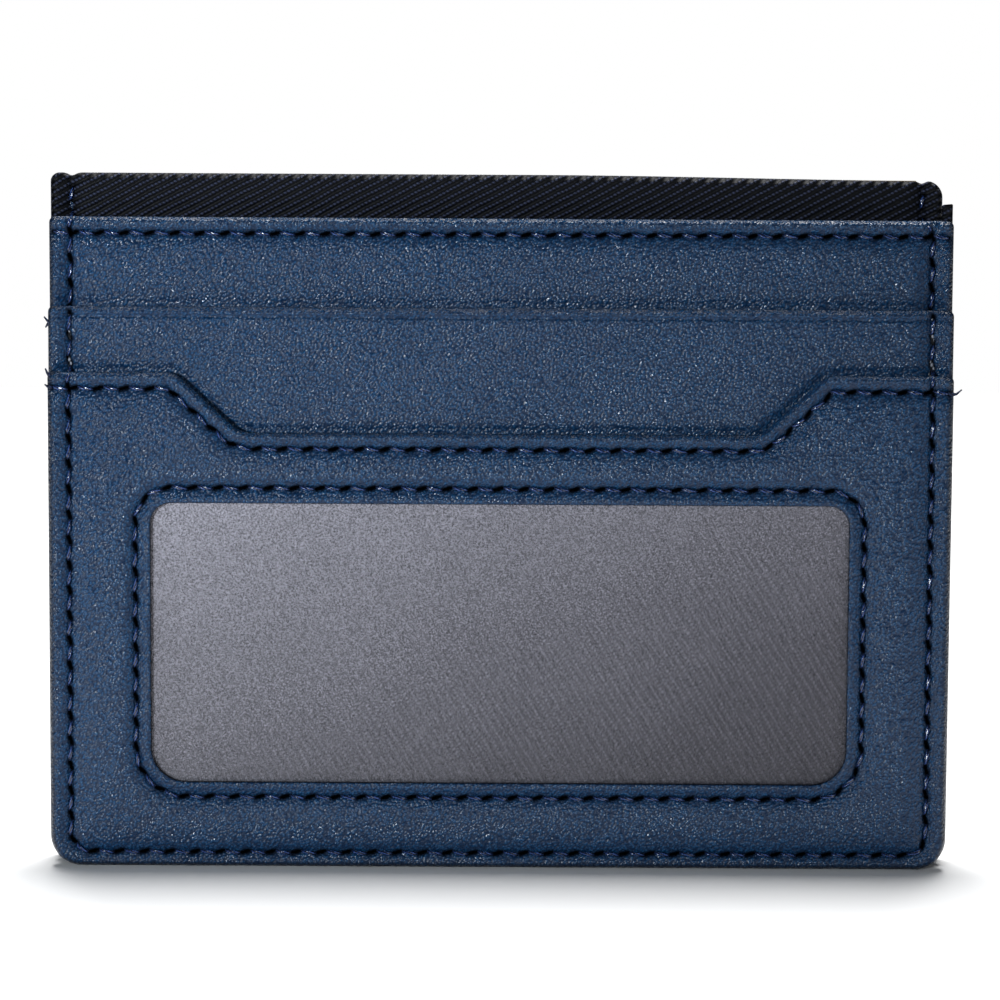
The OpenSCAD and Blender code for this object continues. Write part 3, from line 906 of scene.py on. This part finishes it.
class Thread:
    """Tubes of twisted thread, gathered into one mesh."""

    def __init__(self):
        self.points, self.faces, self.uvs, self.ends = [], [], [], []

    def tube(self, path, radii, twist, ends):
        """A tube with two lobes along a path of (x, y, z) points, dark where ends is 1."""
        self.ends += [e for e in ends for _ in range(STITCH_SIDES)]
        path = np.array(path, float)
        ways = np.gradient(path, axis=0)
        ways /= np.linalg.norm(ways, axis=1)[:, None]
        base, n = len(self.points), STITCH_SIDES
        lengths = np.concatenate([[0], np.cumsum(np.linalg.norm(np.diff(path, axis=0), axis=1))])
        for i, (here, way, r) in enumerate(zip(path, ways, radii)):
            side = np.cross(way, (0, 1, 0))
            side /= np.linalg.norm(side)
            up = np.cross(side, way)
            for j in range(n):
                turn = math.tau * j / n
                lobe = r * (1 + LOBE * math.cos(2 * turn))
                turn += twist * i
                self.points.append(here + lobe * (side * math.cos(turn) + up * math.sin(turn)))
        for i in range(len(path) - 1):
            for j in range(n):
                k = (j + 1) % n
                a, b = base + i * n, base + (i + 1) * n
                self.faces.append((a + j, a + k, b + k, b + j))
                u0, u1, v0, v1 = lengths[i], lengths[i + 1], j / n, (j + 1) / n
                self.uvs += [(u0, v0), (u0, v1), (u1, v1), (u1, v0)]
        last = base + (len(path) - 1) * n
        self.faces += [tuple(range(base + n - 1, base - 1, -1)), tuple(range(last, last + n))]
        self.uvs += [(0.0, 0.0)] * (2 * n)

    def make(self, name, nodes, warp=None):
        """The mesh object, which stands for the given CAD nodes."""
        points = np.array(self.points)
        if warp:
            points = warp(points)
        made = mesh_object(name, points, self.faces, POLYESTER, {"hole": self.ends})
        layer = made.data.uv_layers.new(name="thread")
        layer.data.foreach_set("uv", np.array(self.uvs, np.float32).ravel())
        made.select_set(True)
        bpy.context.view_layer.objects.active = made
        bpy.ops.object.mode_set(mode="EDIT")
        bpy.ops.mesh.select_all(action="SELECT")
        bpy.ops.mesh.normals_make_consistent(inside=False)
        bpy.ops.object.mode_set(mode="OBJECT")
        made.select_set(False)
        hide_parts(*nodes)
        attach(made, "root")


def sew(row, face_of, facing, nodes, tails=(), warp=None):
    """All stitches of a row as one piece: each lies in the groove and dips into its hole at
    both ends. Tails are loose ends, cut short at the panel's side."""
    thread = Thread()
    along = np.linspace(-1, 1, STITCH_RINGS)
    rng = np.random.default_rng(row.count)
    for k in range(row.count):
        path = []
        loose = 1 + LOOSENESS * rng.standard_normal()
        for t in along:
            s = (k + 0.5 + t * STITCH_SHARE / 2) * row.pitch
            here, way = row.at(min(max(s, 0.001), row.length - 0.001))
            here = here - left(way) * STITCH_SLANT * t
            sunk = THREAD_SINK * loose + END_DIP * abs(t) ** 6
            path.append((here[0], face_of(here[1]) - facing * sunk, here[1]))
        radii = THREAD / 2 * (MIDDLE_SHARE - END_LESS * np.abs(along) ** 5)
        thread.tube(path, radii, 0.5 + 0.2 * rng.random(), smooth(np.abs(along), DARK_FROM, DARK_TO))
    for path in tails:
        radii = np.linspace(*TAIL_RADII, len(path))
        thread.tube(path, radii, 0.5, np.full(len(path), TAIL_DARKNESS))
    thread.make(row.name, nodes, warp)


def tail(face, *points):
    """The path of a loose thread end, from points (x, depth behind a face, z)."""
    return [(x, face + depth, z) for x, depth, z in points]


CUTOUT_TAILS = [
    tail(WINDOW_FACE, (50.3, 0.15, 54.75), (50.9, 0.2, 54.6), (51.25, 0.4, 54.6),
         (51.5, 0.5, 54.8), (51.85, 0.5, 55.1)),
    tail(WINDOW_FACE, (-50.4, 0.15, 54.8), (-50.9, 0.3, 54.9), (-51.25, 0.6, 55.1)),
    tail(WINDOW_FACE, (-50.6, 0.2, 56.1), (-50.95, 0.5, 56.4), (-51.2, 0.7, 56.9)),
]
SEAM_TAILS = [
    tail(MIDDLE_FACE, (-50.5, 0.1, 61.8), (-51.0, 0.3, 62.1), (-51.45, 0.5, 62.6)),
    tail(MIDDLE_FACE, (-50.6, 0.1, 61.9), (-51.0, 0.4, 61.8), (-51.3, 0.6, 61.4)),
]

sew(WINDOW_ROW, lambda z: WINDOW_FACE, -1, ["window_stitching"])
sew(CUTOUT_ROW, lambda z: WINDOW_FACE, -1, ["cutout_stitching"], CUTOUT_TAILS)
sew(UPPER_ROW, lambda z: UPPER_FACE, -1, ["upper_edge_stitching"])
sew(FRONT_SEAM, front_face, -1, ["front_seam_stitching"], SEAM_TAILS, settled)
sew(REAR_SEAM, lambda z: BACK_FACE, 1, ["rear_seam_stitching"], (), settled)


# ------------------------------------------------------------- CAD nodes that stay as made

for name, material in (("window_film", FILM), ("front_board", BOARD), ("rear_board", BOARD)):
    kept = bpy.data.objects[name]
    kept.data.materials.clear()
    kept.data.materials.append(material)


# ------------------------------------------------------------------- floor, light, world

bpy.ops.mesh.primitive_plane_add(size=0.6, location=(0, 0.21, 0))
floor = bpy.context.active_object
floor.name = "floor"
floor.data.materials.append(floor_material())
floor.select_set(False)


def soft_light(name, place, target, size, power, spread=180, colour=(1.0, 1.0, 1.0)):
    """A square soft box aimed at a point. The spread is in degrees and the power in watts."""
    light = bpy.data.lights.new(name, "AREA")
    light.shape = "SQUARE"
    light.size = size
    light.energy = power
    light.color = colour
    light.spread = math.radians(spread)
    made = bpy.data.objects.new(name, light)
    bpy.context.collection.objects.link(made)
    made.location = place
    aim = Vector(target) - Vector(place)
    made.rotation_mode = "QUATERNION"
    made.rotation_quaternion = aim.to_track_quat("-Z", "Y")


soft_light("key_box", (-0.21, -0.39, 0.10), target=(-0.04, 0, 0.085), size=0.06, power=0.125,
           spread=50, colour=(0.86, 0.94, 1.0))
soft_light("fill_box", (0.7, -0.8, 0.12), target=(0, 0, 0.04), size=0.5, power=1.5,
           colour=(0.90, 0.96, 1.0))
soft_light("top_box", (0.0, 0.24, 0.95), target=(0, 0, 0.0), size=0.42, power=15.0)

world = bpy.data.worlds.new("studio")
bpy.context.scene.world = world
world.use_nodes = True
sky = world.node_tree
sky.nodes.clear()
# White to the camera, but only a dim light on the object
seen = add(sky, "ShaderNodeLightPath").outputs["Is Camera Ray"]
plain = add(sky, "ShaderNodeBackground", {"Color": (1, 1, 1, 1), "Strength": 1.0})
dim = add(sky, "ShaderNodeBackground", {"Color": (1, 1, 1, 1), "Strength": 0.07})
both = add(sky, "ShaderNodeMixShader", {0: seen, 1: dim.outputs[0], 2: plain.outputs[0]})
add(sky, "ShaderNodeOutputWorld", {0: both.outputs[0]})
bpy.context.scene.view_settings.view_transform = "Standard"

bpy.context.view_layer.update()
